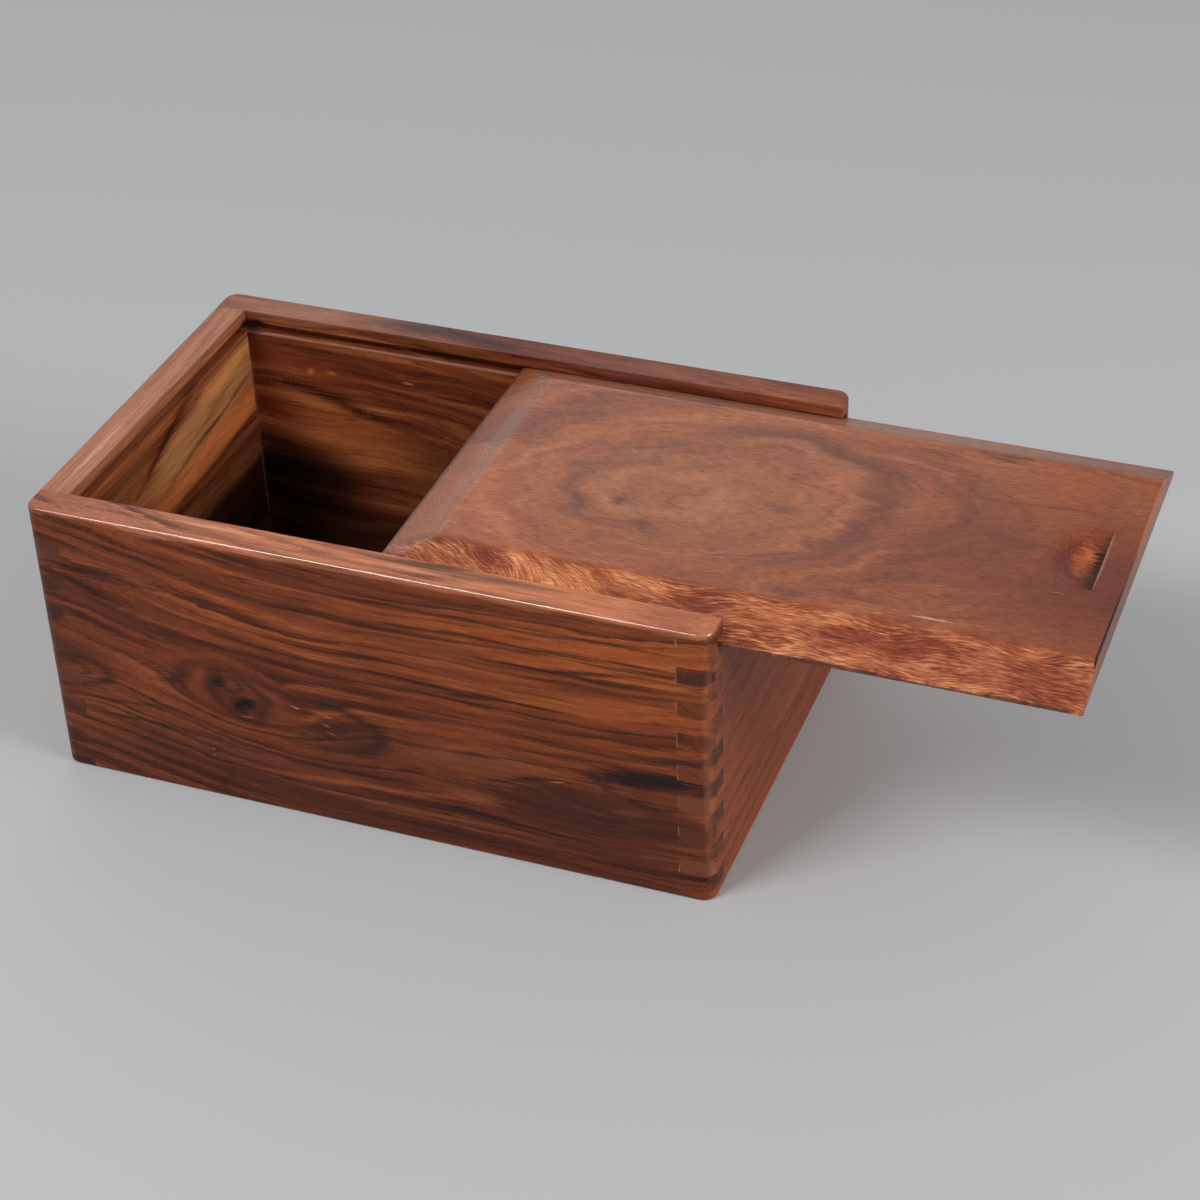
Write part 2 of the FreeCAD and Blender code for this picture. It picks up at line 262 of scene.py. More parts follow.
@dataclass(frozen=True)
class Mark(Spot):
    """A soft-edged patch or ring of another colour."""

    colour: str
    strength: float = 0.7
    _: KW_ONLY
    core: float = 0.0  # share of the patch that has its full colour
    ring: float = 0.0  # width of a ring, in reaches: none makes a patch
    side: Pair = (0.0, 0.0)  # the way to where a ring is darkest: nought makes it dark all round
    fade: Pair = (-0.4, 0.8)  # how far that way the ring begins to show, and is full, in reaches
    tear: float = 0.8  # how ragged the edge is, in millimetres
    follow: Follow = Follow.BOARD

    def lay(self, points: Points, colour: Socket) -> Socket:
        """Lays the mark over the colour.

        Args:
            points: where a point of the wood lies.
            colour: the colour beneath.

        Returns:
            The colour with the mark.
        """
        local, away = self.around(getattr(points, self.follow.value))
        inputs = {0: points.ragged, 1: self.tear / self.reach[1], 2: away}
        edge = add_node("Math", inputs, operation="MULTIPLY_ADD")
        start, end = self.core, 1.0
        if self.ring:
            off = add_node("Math", {0: edge, 1: 1.0}, operation="SUBTRACT")
            edge = add_node("Math", {0: off}, operation="ABSOLUTE")
            start, end = 0.0, self.ring
        share = add_node(
            "MapRange",
            {"Value": edge, "From Min": start, "From Max": end, "To Min": self.strength, "To Max": 0.0},
            interpolation_type="SMOOTHSTEP",
        )
        if any(self.side):
            inputs = {0: local, 1: (*self.side, 0.0)}
            facing = add_node("VectorMath", inputs, operation="DOT_PRODUCT", output="Value")
            inputs = {"Value": facing, "From Min": self.fade[0], "From Max": self.fade[1]}
            lit = add_node("MapRange", inputs)
            share = add_node("Math", {0: share, 1: lit}, operation="MULTIPLY")
        return add_node("Mix", {0: share, 6: colour, 7: linear(self.colour)}, data_type="RGBA", output=2)


@dataclass(frozen=True)
class Face:
    """A face of a board, for the marks that are drawn on it."""

    level: float  # where it lies in the board's thickness, in millimetres
    depth: float  # how deep its marks go, in millimetres

    def mark(self, place: Pair, size: Pair, colour: str, strength: float = 0.7, **rest) -> Mark:
        """Makes a mark whose place and size are given along and across the board."""
        return Mark((*place, self.level), (*size, self.depth), colour, strength, **rest)


def exact_mark(centre: Triple, reach: Triple, colour: str, strength: float = 0.7, **rest) -> Mark:
    """Makes a mark that keeps to its exact place, such as one along an arris."""
    return Mark(centre, reach, colour, strength, follow=Follow.EXACT, **rest)


@dataclass(frozen=True)
class Joint:
    """Glue line along the inner ends of the corner joint's fingers, on one board."""

    line: float  # along the board, in millimetres
    first: float  # top of the topmost finger that the line follows
    pitch: float
    height: float
    width: float = 0.3  # drawn about twice as wide as the real line, which would be lost otherwise
    colour: str = "#b58a6c"
    strength: float = 0.5
    patches: float = 0.35  # for each millimetre: the glue shows only here and there
    shows: Pair = (0.42, 0.62)  # noise at which it begins to show, and at which it is full

    def lay(self, points: Points, colour: Socket) -> Socket:
        """Lays the glue line over the colour.

        Args:
            points: where a point of the wood lies.
            colour: the colour beneath.

        Returns:
            The colour with the line.
        """
        along, across, _ = add_node("SeparateXYZ", {0: points.place}).node.outputs
        here = add_node("Math", {0: along, 1: self.line, 2: self.width}, operation="COMPARE")
        drop = add_node("Math", {0: self.first, 1: across}, operation="SUBTRACT")
        step = add_node("Math", {0: drop, 1: self.pitch}, operation="FLOORED_MODULO")
        beside = add_node("Math", {0: step, 1: self.height}, operation="LESS_THAN")
        line = add_node("Math", {0: here, 1: beside}, operation="MULTIPLY")
        patchy = add_node("TexNoise", {"Vector": points.place, "Scale": self.patches})
        start, full = self.shows
        inputs = {"Value": patchy, "From Min": start, "From Max": full, "To Max": self.strength}
        kept = add_node("MapRange", inputs)
        share = add_node("Math", {0: line, 1: kept}, operation="MULTIPLY")
        return add_node("Mix", {0: share, 6: colour, 7: linear(self.colour)}, data_type="RGBA", output=2)


@dataclass(frozen=True)
class Curl:
    """Curly figure on a bevel: bright and dark fibres that dive across the grain at a slant. The bright
    fibres are partly painted highlight, for the shimmer of the figure.
    """

    strength: float
    limit: float  # the figure shows below this line across the board, in millimetres
    edge: float = 2.0  # how softly it ends there, to either side
    slant: float = 0.7  # how far the fibres fall for each millimetre along the board
    slant_end: float = 75.0  # beyond this they run level
    swirl: float = 4.5  # how far they swirl, in millimetres
    swirl_size: Triple = (30.0, 18.0, 30.0)
    fibre: Triple = (5.0, 0.38, 3.0)  # length, width and depth: about twice as coarse as real fibres
    contrast: float = 0.32  # how much the single fibres tell, beside the patches
    patch: Triple = (20.0, 7.0, 10.0)  # bundles of bright or dark fibres
    # the bright tone is partly painted highlight
    tones: tuple[tuple[float, str], ...] = ((0.26, "#5a2013"), (0.46, "#984d2e"), (0.74, "#e59966"))

    def lay(self, points: Points, colour: Socket) -> Socket:
        """Lays the figure over the colour.

        Args:
            points: where a point of the wood lies.
            colour: the colour beneath.

        Returns:
            The colour with the figure.
        """
        along, across, through = add_node("SeparateXYZ", {0: points.place}).node.outputs
        swirl = add_noise(points.place, self.swirl_size, Detail=1.0)
        slanted = add_node("Math", {0: along, 1: self.slant_end}, operation="MINIMUM")
        level = add_node("Math", {0: slanted, 1: self.slant, 2: across}, operation="MULTIPLY_ADD")
        level = add_node("Math", {0: swirl, 1: self.swirl, 2: level}, operation="MULTIPLY_ADD")
        flow = add_node("CombineXYZ", {0: along, 1: level, 2: through})
        fibres = add_noise(flow, self.fibre, Detail=2.0, Roughness=0.6)
        patches = add_noise(flow, self.patch, normalize=True, Detail=3.0)
        shade = add_node("Math", {0: fibres, 1: self.contrast, 2: patches}, operation="MULTIPLY_ADD")
        ramp = add_node("ValToRGB", {0: shade})
        figured = set_ramp(ramp, [(position, linear(tone)) for position, tone in self.tones])
        inputs = {
            "Value": across,
            "From Min": self.limit - self.edge,
            "From Max": self.limit + self.edge,
            "To Min": self.strength,
            "To Max": 0.0,
        }
        share = add_node("MapRange", inputs, interpolation_type="SMOOTHSTEP")
        return add_node("Mix", {0: share, 6: colour, 7: figured}, data_type="RGBA", output=2)


@dataclass(frozen=True)
class Rosewood:
    """Oiled rosewood: red-brown with near-black growth lines, fine open pores and a satin sheen."""

    name: str
    lie: Lie
    dark: str
    middle: str
    light: str
    seed: float
    band: float = 3.0  # mean width of the colour bands, in millimetres
    band_length: float = 170.0
    band_depth: float = 90.0
    contrast: float = 0.7
    streak: float = 0.28  # share of it that is narrow streaks
    line_pitch: float = 4.0  # from one dark growth line to the next, in millimetres
    line_depth: float = 0.75
    line_stray: float = 1.4  # how far a line strays from its even place, in pitches
    slope: float = 0.0  # rise of the grain along the board
    dive: float = 0.6  # how fast the growth layers turn into the board
    sag: float = 0.0  # how far the bands hang down at mid length, in millimetres
    sag_middle: float = 130.0
    sag_span: float = 100.0
    wave: float = 2.0  # waviness of the bands, in millimetres
    tear: float = 0.5  # how ragged the bands' edges are, in millimetres
    chatter: float = 0.25  # share of that which is short ticks across the grain
    drift: Triple = (5.0, 1.8, 0.0)  # how far marks stray from their drawn outlines, in millimetres
    fibres: Follow = Follow.LAYERS
    fibre: Triple = (22.0, 0.6, 0.6)  # length, width and depth: about twice as coarse as real ones
    fibre_depth: float = 0.7
    end: str = "#4a2718"  # end grain drinks the oil and turns dark and plain
    end_share: float = 0.55
    roughness: float = 0.42
    pore_gloss: Pair = (0.08, -0.05)  # what pores and fibres add to that
    relief: float = 0.05  # depth of the open grain, in millimetres
    relief_share: float = 0.2  # how much of it tells in the shading
    sheen: float = 0.12  # specular level: the oil lies in the wood more than on it
    polish: float = 0.08  # weight of the thin waxed coat
    burnish: float = 1.0  # the same on the arrises, which hands have rubbed to a shine
    wax_roughness: float = 0.12
    wax_ior: float = 1.7
    bends: tuple[Eye | Oval, ...] = ()
    tints: tuple[Mark, ...] = ()  # changes of the ground colour, under the growth lines
    marks: tuple[Mark | Joint | Curl, ...] = ()

    def make(self, low: Vector) -> bpy.types.Material:
        """Builds the material.

        Args:
            low: the lowest corner of the board, in metres, which its own millimetres start from.

        Returns:
            The finished material.
        """
        material = bpy.data.materials.new(self.name)
        material.use_nodes = True
        tree = material.node_tree
        tree.nodes.clear()
        points = self._points(tree, low)
        colour = self._bands(points)
        for tint in self.tints:
            colour = tint.lay(points, colour)
        colour = self._growth_lines(points, colour)
        for mark in self.marks:
            colour = mark.lay(points, colour)
        fibre = self._fibre(points)
        colour = self._fibre_colour(colour, fibre)
        colour = self._end_grain(points, colour)
        self._surface(points, colour, fibre)
        return material

    def _points(self, tree: Tree, low: Vector) -> Points:
        """Wires what tells one point of the board from another.

        Args:
            tree: the board's node tree.
            low: the lowest corner of the board, in metres.

        Returns:
            The point, in its several ways.
        """
        normal = add_node("TexCoord", {}, output="Normal", tree=tree)
        source = normal.node.outputs["Object"]
        corner = add_node("VectorMath", {0: source, 1: low}, operation="SUBTRACT")
        size = add_node("VectorMath", {0: corner, "Scale": 1 / MM}, operation="SCALE")
        split = add_node("SeparateXYZ", {0: size}).node.outputs
        place = add_node("CombineXYZ", {number: split[axis] for number, axis in enumerate(self.lie.value)})

        shift = (self.seed, 0.0, self.seed)
        push = add_noise(place, STRAY_SIZE, shift, Detail=2.0).node.outputs["Color"]
        drift = add_node("VectorMath", {0: push, 1: self.drift, 2: place}, operation="MULTIPLY_ADD")

        ragged = add_noise(place, TORN_SIZE, Detail=2.0)
        ticks = add_noise(place, TICK_SIZE, Detail=1.0)
        ragged = add_node("Math", {0: ticks, 1: self.chatter, 2: ragged}, operation="MULTIPLY_ADD")

        points = Points(place, drift, ragged, self._level(place), place, normal)
        for bend in self.bends:
            points.layers = bend.bend(points)
        inputs = {0: ragged, 1: self.tear, 2: points.layers}
        points.layers = add_node("Math", inputs, operation="MULTIPLY_ADD")
        along, _, through = add_node("SeparateXYZ", {0: place}).node.outputs
        points.layered = add_node("CombineXYZ", {0: along, 1: points.layers, 2: through})
        return points

    def _level(self, place: Socket) -> Socket:
        """Finds the growth layer of a point, before any knot bends it.

        Args:
            place: the point, in millimetres.

        Returns:
            The layer, as a distance across the board.
        """
        shift = (self.seed, self.seed * 1.7, 0.0)
        wander = add_noise(place, WANDER_SIZE, shift, Detail=2.0)
        inputs = {0: place, 1: (self.slope, 1.0, self.dive)}
        level = add_node("VectorMath", inputs, operation="DOT_PRODUCT", output="Value")
        level = add_node("Math", {0: wander, 1: 2 * self.wave, 2: level}, operation="MULTIPLY_ADD")
        if not self.sag:
            return level
        along = add_node("SeparateXYZ", {0: place})
        inputs = {0: along, 1: 1 / self.sag_span, 2: -self.sag_middle / self.sag_span}
        ratio = add_node("Math", inputs, operation="MULTIPLY_ADD")
        bow = add_node("Math", {0: ratio, 1: ratio}, operation="MULTIPLY")
        return add_node("Math", {0: bow, 1: -self.sag, 2: level}, operation="MULTIPLY_ADD")

    def _bands(self, points: Points) -> Socket:
        """Lays soft colour bands along the growth layers, broad ones with narrow ones between.

        Args:
            points: where a point of the wood lies.

        Returns:
            Their colour.
        """
        shade: Socket | float = 0.5
        for (length, width), weight in zip(BANDS, (0.40, 0.45, self.streak)):
            size = (length * self.band_length, width * self.band, self.band_depth)
            shift = (self.seed * 3.1, self.seed + width * self.band, 0.0)
            noise = add_noise(points.layered, size, shift, Detail=3.0, Roughness=0.6)
            inputs = {0: noise, 1: weight * self.contrast, 2: shade}
            shade = add_node("Math", inputs, operation="MULTIPLY_ADD")
        ramp = add_node("ValToRGB", {0: shade})
        tones = (linear(self.dark), linear(self.middle), linear(self.light))
        return set_ramp(ramp, list(zip(BAND_TONES, tones)))

    def _growth_lines(self, points: Points, colour: Socket) -> Socket:
        """Lays dark late-wood lines: each comes up slowly, ends sharply and is strong only in places.

        Args:
            points: where a point of the wood lies.
            colour: the colour beneath.

        Returns:
            The colour with the lines.
        """
        shift = (0.0, self.seed, 0.0)
        sway = add_noise(points.layered, SWAY_SIZE, shift, Detail=2.0)
        inputs = {0: sway, 1: self.line_stray * self.line_pitch, 2: points.layers}
        swayed = add_node("Math", inputs, operation="MULTIPLY_ADD")
        count = add_node("Math", {0: swayed, 1: -1 / self.line_pitch}, operation="MULTIPLY")
        part = add_node("Math", {0: count}, operation="FRACT")
        ramp = add_node("ValToRGB", {0: part})
        line = set_ramp(ramp, [(position, grey(value)) for position, value in LINE_PROFILE])
        size = (LINE_LENGTH, LINE_WIDTH * self.line_pitch, LINE_DEPTH)
        shift = (self.seed, 0.0, 7.0)
        strong = add_noise(points.layered, size, shift, normalize=True, Detail=2.0)
        start, full = LINE_SHOWS
        inputs = {"Value": strong, "From Min": start, "From Max": full, "To Max": self.line_depth}
        depth = add_node("MapRange", inputs, interpolation_type="SMOOTHSTEP")
        share = add_node("Math", {0: line, 1: depth}, operation="MULTIPLY")
        return add_node("Mix", {0: share, 6: colour, 7: linear(self.dark)}, data_type="RGBA", output=2)

    def _fibre(self, points: Points) -> Socket:
        """Fine fibres and pores along the grain."""
        source = points.place if self.fibres is Follow.BOARD else points.layered
        return add_noise(source, self.fibre, normalize=True, Detail=3.0, Roughness=0.65)

    def _fibre_colour(self, colour: Socket, fibre: Socket) -> Socket:
        """Darkens and lightens the colour along the fibres.

        Args:
            colour: the colour beneath.
            fibre: noise of the fibres.

        Returns:
            The colour with the fibres.
        """
        ramp = add_node("ValToRGB", {0: fibre})
        inputs = {0: self.fibre_depth, 6: colour, 7: set_ramp(ramp, FIBRE_TONES)}
        return add_node("Mix", inputs, data_type="RGBA", blend_type="MULTIPLY", output=2)

    def _end_grain(self, points: Points, colour: Socket) -> Socket:
        """Turns the faces that the grain runs into dark and plain.

        Args:
            points: where a point of the wood lies.
            colour: the colour beneath.

        Returns:
            The colour with the end grain.
        """
        grainwise = add_node("SeparateXYZ", {0: points.normal}, output=self.lie.value[0])
        facing = add_node("Math", {0: grainwise}, operation="ABSOLUTE")
        start, full = END_SHOWS
        inputs = {"Value": facing, "From Min": start, "From Max": full, "To Max": self.end_share}
        share = add_node("MapRange", inputs, interpolation_type="SMOOTHSTEP")
        return add_node("Mix", {0: share, 6: colour, 7: linear(self.end)}, data_type="RGBA", output=2)

    def _burnish(self, points: Points) -> Socket:
        """Rubs the rounded arrises of the rim, which look half upwards, to a shine.

        Args:
            points: where a point of the wood lies.

        Returns:
            Weight of the waxed coat.
        """
        upward = add_node("SeparateXYZ", {0: points.normal}, output=2)
        ramp = add_node("ValToRGB", {0: upward})
        weights = (self.polish, self.burnish, self.burnish, self.polish)
        return set_ramp(ramp, [(position, grey(weight)) for position, weight in zip(ARRIS_SHOWS, weights)])

    def _surface(self, points: Points, colour: Socket, fibre: Socket) -> None:
        """Adds the satin oil finish: the open grain still shows in its gloss.

        Args:
            points: where a point of the wood lies.
            colour: the finished colour.
            fibre: noise of the fibres.
        """
        inputs = {
            "Value": fibre,
            "From Min": FIBRE_RANGE[0],
            "From Max": FIBRE_RANGE[1],
            "To Min": self.roughness + self.pore_gloss[0],
            "To Max": self.roughness + self.pore_gloss[1],
        }
        gloss = add_node("MapRange", inputs)
        inputs = {"Height": fibre, "Strength": self.relief_share, "Distance": self.relief * MM}
        relief = add_node("Bump", inputs)
        inputs = {
            "Base Color": colour,
            "Roughness": gloss,
            "Normal": relief,
            "Specular IOR Level": self.sheen,
            "Coat Weight": self._burnish(points),
            "Coat Roughness": self.wax_roughness,
            "Coat IOR": self.wax_ior,
        }
        shader = add_node("BsdfPrincipled", inputs)
        add_node("OutputMaterial", {"Surface": shader})


def board_size(node: str) -> Triple:
    """Size of a board along x, y and z, in millimetres, as the frame has it."""
    low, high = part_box(node)
    return tuple(round(length / MM, 3) for length in high - low)


@dataclass
class Carcase:
    """The box without its lid: four box-jointed boards and the bottom panel.

    A mark's place is given along and across its board, from the lower corner that lies to the left or
    to the front.
    """

    finger_pitch: float = 12.0
    finger_height: float = 6.0
    first_slot: float = 87.6  # top of the side boards' topmost slot, which an end board's finger fills
    through: float = 40.0  # a mark this deep shows on both faces of a board
    skin: float = 8.0  # a mark this deep shows on one face only

    @property
    def thickness(self) -> float:
        """Thickness of the end boards."""
        return board_size("left_end_board")[0]

    def build(self) -> None:
        """Dresses the boards."""
        dress("front_board", self._front())
        dress("back_board", self._back())
        dress("left_end_board", self._left_end())
        dress("right_end_board", self._right_end())
        dress("bottom_panel", self._bottom())

    def _fingers(self, tones: dict[int, tuple[str, float]]) -> tuple[Mark, ...]:
        """Gives the fingers of an end board, which show at the front, tones of their own.

        Args:
            tones: colour and strength for a finger, by its number down from the topmost.

        Returns:
            One mark for each finger named.
        """
        middle = self.finger_height / 2
        return tuple(
            Mark(
                (0.0, self.first_slot - (number * self.finger_pitch + middle), self.thickness / 2),
                (4.0, 5.0, 14.0),
                colour,
                strength,
                core=0.5,
            )
            for number, (colour, strength) in tones.items()
        )

    def _front(self) -> Rosewood:
        """Front board: hanging dark streaks over a knotty, eyed lower half.

        Returns:
            The board's finish.
        """
        deep = self.through
        face = Face(0.0, deep)
        length, _, _ = board_size("front_board")
        return Rosewood(
            "rosewood_front_board",
            Lie.LONG_SIDE,
            dark="#2b110a",
            middle="#803c1f",
            light="#aa5c2d",
            seed=3.0,
            band=3.2,
            contrast=0.52,
            streak=0.2,
            line_pitch=4.6,
            line_depth=0.82,
            line_stray=0.7,
            sag=8.0,
            sag_middle=138.0,
            tear=0.9,
            chatter=0.15,
            fibre_depth=0.6,
            end="#4e2a1d",
            bends=(
                Eye((72, 35, 0), (58, 21, deep), turn=-5, lift=13),
                Eye((64, 43.5, 0), (28, 16, deep), turn=-20, part=0.6),
                Eye((-4, 38, 0), (34, 17, deep), lift=12),
                Eye((225, 30, 0), (84, 20, deep), turn=4, lift=12),
                Eye((0, 80, 0), (90, 30, deep), lift=-5),
                Eye((135, 4, 0), (80, 22, deep), lift=-5),
                Eye((55.5, 19, 0), (10, 7, deep), part=0.6),
            ),
            tints=(
                # painted light: the upper right of the face lighter, as if lit more from above
                face.mark((185, 84), (100, 28), "#be622e", 0.48),
                face.mark((150, 38), (38, 8), "#8a4a2c", 0.7, turn=4, core=0.2),
                # painted shade: the lower half of the face darker
                face.mark((110, 8), (200, 44), "#431d16", 0.7),
                face.mark((0, 60), (70, 60), "#55281a", 0.35),
                # the rim, painted lighter where it faces up to the lamps
                Mark((120, 100, 5), (190, 3.5, 20), "#da8a64", 0.62, core=0.5),
                Mark((10, 100, 5), (60, 3.5, 20), "#9a5a44", 0.6),
            ),
            marks=(
                *self._front_grain(),
                *self._front_knots(),
                # streaks and flecks on the rim
                Mark((150, 99, 0), (80, 1, 3), "#3b1b12", 0.4),
                Mark((152, 100, 8), (44, 4, 2.6), "#5a4234", 0.8, tear=1.2),
                Mark((30, 100, 6), (30, 3.5, 1.4), "#7a3e2c", 0.7, tear=1.2),
                Mark((95, 100, 3.5), (34, 3.5, 1.4), "#8a4e34", 0.6, tear=1.2),
                Mark((60, 100, 7.5), (26, 3.5, 1.4), "#e0a47a", 0.6, tear=1.2),
                Mark((125, 100, 5), (26, 3.5, 1.2), "#dca27c", 0.6, tear=1.2),
                Mark((212, 100, 5), (16, 3.5, 20), "#8a4a34", 0.5),
                # painted highlight down the rounded corner
                exact_mark((222.6, 52, 1.4), (2.4, 60, 2.4), "#b07a5c", 0.28, core=0.3),
                Joint(length - self.thickness, self.first_slot, self.finger_pitch, self.finger_height),
            ),
        )

    def _front_grain(self) -> tuple[Mark, ...]:
        """Streaks of the front board, and its smooth dark corner.

        Returns:
            The marks, in the order in which they are laid.
        """
        face = Face(0.0, self.through)
        return (
            # dark streaks that hang below the rim
            face.mark((160, 94.5), (60, 1.5), "#3b1b12", follow=Follow.LAYERS),
            face.mark((150, 89.5), (90, 1.1), "#3b1b12", 0.75, turn=0.5),
            face.mark((160, 83.5), (80, 1.2), "#3b1b12", 0.8, turn=1.5),
            face.mark((178, 78), (52, 1.4), "#331610", 0.85, turn=3.5),
            face.mark((185, 73), (60, 1.8), "#341710", 0.8, follow=Follow.LAYERS),
            face.mark((147, 61.8), (50, 2), "#2e130d", 0.85, turn=-1.5, tear=1.2),
            face.mark((22, 80.5), (22, 4.2), "#33160e", 0.9, turn=-5, tear=2),
            face.mark((66, 77), (34, 2.2), "#3a1a12", 0.6, turn=-7, tear=2),
            # pale streaks along the foot, and a dark one
            face.mark((110, 18), (60, 1.8), "#a2552f", 0.7, turn=4),
            face.mark((125, 12), (60, 1.4), "#8d4a28", 0.6),
            face.mark((140, 22.5), (30, 1.6), "#8a4428", 0.6, turn=-3),
            face.mark((148, 21.5), (12, 4), "#a4562e", 0.5, turn=-8),
            face.mark((150, 9), (70, 1.1), "#8a4428", 0.6, turn=-2),
            face.mark((150, 15.5), (60, 1.1), "#2c1410", 0.7, turn=-2),
            # the smooth dark corner, with a streak at its upper edge
            face.mark((188, 26.5), (52, 12.5), "#351a16", 0.75, core=0.4, tear=2.5),
            face.mark((190, 12), (32, 9), "#562a1e", 0.6, tear=2),
            face.mark((136, 37), (26, 6), "#74402a", 0.5, turn=5, tear=2),
            face.mark((163, 32.5), (28, 1.5), "#2c1411", 0.85, turn=12),
            face.mark((197, 28), (12, 2.6), "#744030", 0.6, turn=10),
        )

    def _front_knots(self) -> tuple[Mark, ...]:
        """Knots of the front board, with what lies beside them.

        Returns:
            The marks, in the order in which they are laid.
        """
        face = Face(0.0, self.through)
        return (
            # the large knot: its rings, its halves and the two black hearts
            face.mark((84, 38.5), (33, 9.5), "#2e1511", 0.8, turn=-5, ring=0.22, side=(1, 0.15)),
            face.mark((107, 36.5), (13, 7), "#43201a", 0.6, turn=-8, core=0.3),
            face.mark((80, 38.5), (20, 5), "#351a14", 0.6, turn=-6, ring=0.28, side=(1, 0)),
            face.mark((68, 42), (20, 11), "#55291a", 0.6, turn=-14, core=0.3),
            face.mark((64, 43.5), (19, 9.5), "#32150f", 0.55, turn=-14, ring=0.3, side=(-1, 0.2)),
            face.mark((66, 43), (11.5, 7.2), "#2a1210", 0.6, turn=-30, ring=0.4),
            face.mark((69, 39.6), (8.2, 6), "#2a1412", 0.9, turn=12),
            face.mark((58.6, 47), (4.4, 3.8), "#150d0d", 0.95, turn=40, core=0.1, tear=1.8),
            face.mark((68, 39.8), (6.6, 4.2), "#100a0b", 0.97, turn=12, core=0.15, tear=2.2),
            face.mark((69.2, 39), (1.4, 1), "#4a3020", 0.6),
            face.mark((71, 35.4), (4.2, 0.7), "#9a5a38", 0.6, turn=8),
            face.mark((63.5, 46.5), (3.4, 2.6), "#3c1e18", 0.6, ring=0.6),
            face.mark((44, 45.5), (8, 2.8), "#2e1410", 0.7, turn=24, tear=2),
            # small knot below it, and torn pale flecks
            face.mark((54.5, 19.6), (1.8, 0.5), "#b87454", 0.8, turn=-24, tear=0.2),
            face.mark((56.5, 17.6), (1.8, 0.5), "#b06c50", 0.7, turn=-20, tear=0.2),
            face.mark((30, 12), (70, 22), "#4a241a", 0.35),
            face.mark((86, 43.3), (2.2, 0.5), "#c8845a", 0.9, turn=-14, tear=0.2),
            face.mark((98.5, 38.6), (2.4, 0.4), "#b06238", 0.6, turn=-10, tear=0),
            face.mark((101, 36.2), (2.6, 0.45), "#b4663a", 0.7, turn=-10, tear=0),
            face.mark((176, 34.6), (4, 0.6), "#c07c54", 0.85, turn=12, tear=0.3),
            face.mark((55.5, 19), (4.2, 2.4), "#2c1410", 0.6, turn=10, tear=1.6),
            face.mark((61, 8), (3, 10), "#2f1712", 0.5, tear=2),
            # eye at the left end
            face.mark((40, 24), (40, 1.6), "#2f1511", 0.7, turn=-4),
            face.mark((30, 31), (34, 1.4), "#35180f", 0.6),
            face.mark((0, 40), (23, 7), "#35170f", 0.75, ring=0.25, side=(1, 0)),
            face.mark((0, 40), (14, 4.5), "#3d1c13", 0.55, ring=0.25, side=(1, 0)),
            # black streak at the right end
            face.mark((205, 41), (38, 8.5), "#2c1618", 0.5, turn=4, tear=2.5),
            face.mark((205, 42.2), (31, 4.6), "#1c0f12", 0.95, turn=5, core=0.2, tear=1.4),
            face.mark((212, 52.5), (32, 2.8), "#2e1515", 0.8, turn=8),
        )

    def _back(self) -> Rosewood:
        """Back board: dark and reddish, with a broken dark figure inside.

        Returns:
            The board's finish.
        """
        face = Face(0.0, self.skin)
        return Rosewood(
            "rosewood_back_board",
            Lie.LONG_SIDE,
            dark="#2e120c",
            middle="#773823",
            light="#b0663a",
            seed=11.0,
            band=5.0,
            slope=0.05,
            wave=3.5,
            contrast=0.62,
            streak=0.16,
            line_depth=0.35,
            tear=0.8,
            fibre_depth=0.55,
            marks=(
                face.mark((30, 82), (44, 6), "#8a3e24", 0.6, turn=-4),
                face.mark((30, 74), (20, 2.6), "#2a100a", 0.85, turn=-8, tear=1.6),
                face.mark((50, 68), (34, 4), "#2a100a", 0.85, turn=-14, tear=1.6),
                face.mark((46, 57), (36, 9), "#ac5a30", 0.75, turn=-6, tear=1.6),
                face.mark((84, 52), (26, 8), "#34190f", 0.7),
                face.mark((80, 42), (34, 10), "#8a4c24", 0.6),
                # painted shade: the lower left of the inner face goes near black
                face.mark((26, 34), (34, 20), "#1a0e0a", 0.85, core=0.4),
                face.mark((46, 14), (60, 18), "#1c0f0a", 0.8, core=0.4),
                face.mark((92, 30), (36, 26), "#7a5026", 0.65),
                # bright flecks
                face.mark((72, 80.5), (4, 1.1), "#d87a40", 0.75, tear=0.3),
                face.mark((34, 80), (2.2, 1.5), "#d2703a", 0.75, tear=0.3),
                face.mark((42, 80.5), (3.4, 0.9), "#d2703a", 0.65, tear=0.3),
                # the lid groove: a painted highlight on its arris, its upper wall, and painted shade at
                # its dark end
                exact_mark((100, 92.1, 0), (200, 0.8, 1.2), "#b4806c", 0.7, core=0.5, tear=0.2),
                Mark((85, 97.6, 0), (40, 1.4, 3), "#7a5424", 0.6),
                exact_mark((14, 95, 2), (6.5, 4, 6), "#0c0605", 0.95, core=0.5),
                # glue in the corner
                exact_mark((11, 44, 0), (0.6, 50, 3), "#a08878", 0.55, core=0.4),
                # the rim, painted lighter where it faces up to the lamps, with a dark grey stain
                Mark((35, 100, 5), (70, 3.4, 20), "#a8765e", 0.65),
                Mark((76, 100, 6), (38, 3.6, 6), "#33282a", 0.9, turn=3),
                Mark((165, 100, 5), (80, 3.4, 20), "#8c5444", 0.55),
            ),
        )

